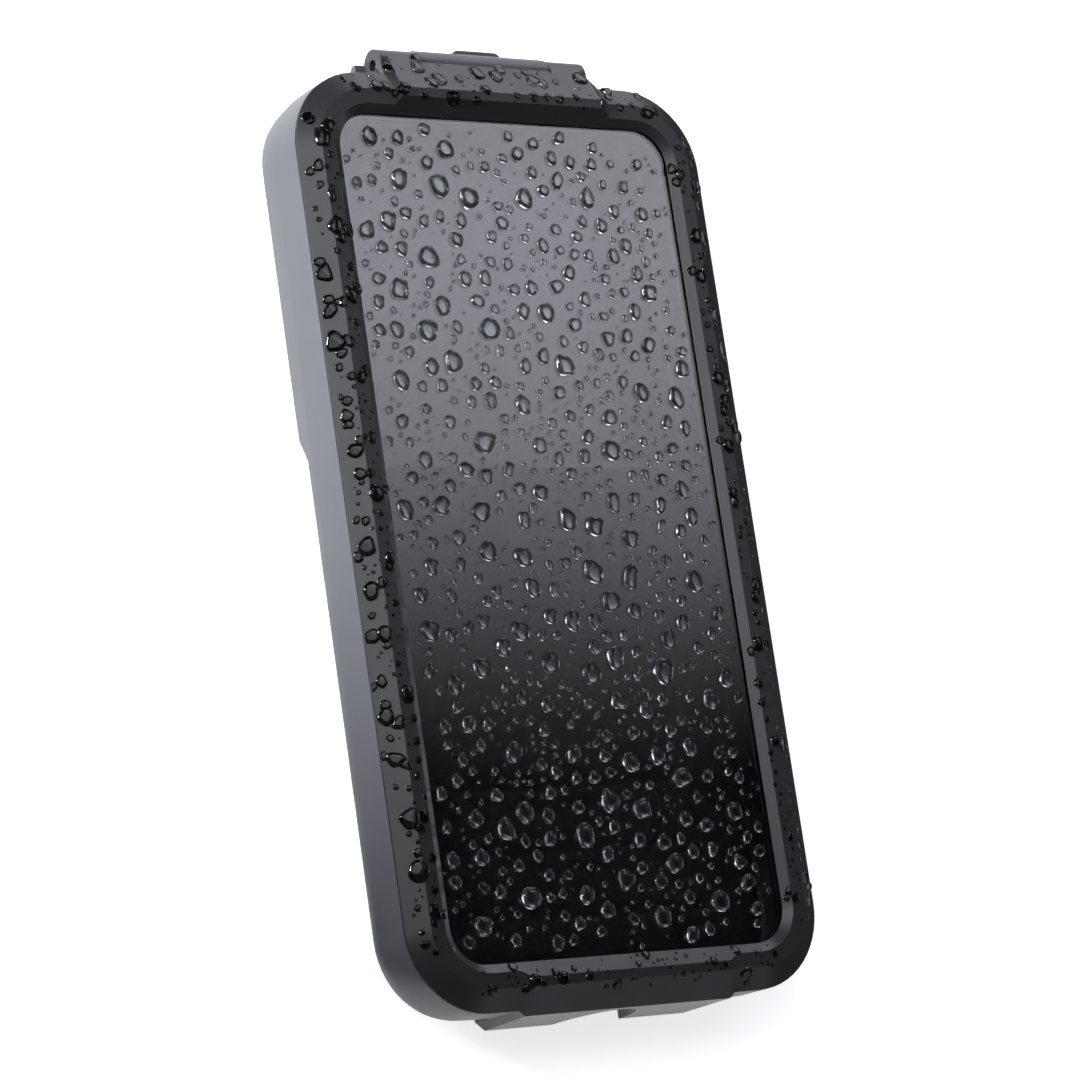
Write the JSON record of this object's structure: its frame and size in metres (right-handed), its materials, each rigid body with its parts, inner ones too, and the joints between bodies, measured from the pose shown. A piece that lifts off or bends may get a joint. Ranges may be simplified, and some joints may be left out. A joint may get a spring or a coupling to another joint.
{
  "type": "universal phone case",
  "caption": "Hard waterproof case with a hinged lid, clear window, rim seal and snap closure, which holds a phone and is carried by a boss on its back.",
  "frame": {"origin": "under the middle of the whole case, on the plane of the camera part's back and of the mounting boss", "axes": "+X across the case to the right of someone who looks at the window, +Y along it towards the hinge, +Z out of the window"},
  "size_m": [0.088, 0.1808, 0.0183],
  "materials": {
    "shell_plastic": "fine matt moulding, dark grey",
    "lid_plastic": "fine matt moulding, charcoal",
    "clear_film": "clear flexible film, glossy",
    "black_plastic": "matt black",
    "seal_rubber": "soft matt",
    "pin_steel": "drawn steel",
    "foam": "closed-cell foam"
  },
  "bodies": {
    "shell": {"rear_shell": "shell_plastic", "rim_seal": "seal_rubber", "hinge_pin": "pin_steel", "back_pad": "foam", "left_pad": "foam", "right_pad": "foam", "top_pad": "foam", "bottom_pad": "foam"},
    "lid": {"lid_frame": "lid_plastic", "window_film": "clear_film", "window_retainer": "black_plastic"}
  },
  "joints": [
    {"name": "lid_hinge", "type": "hinge", "parent": "shell", "child": "lid", "pos_m": [0, 0.08445, 0.0108], "axis": [-1, 0, 0], "range_deg": [0, 150]}
  ]
}
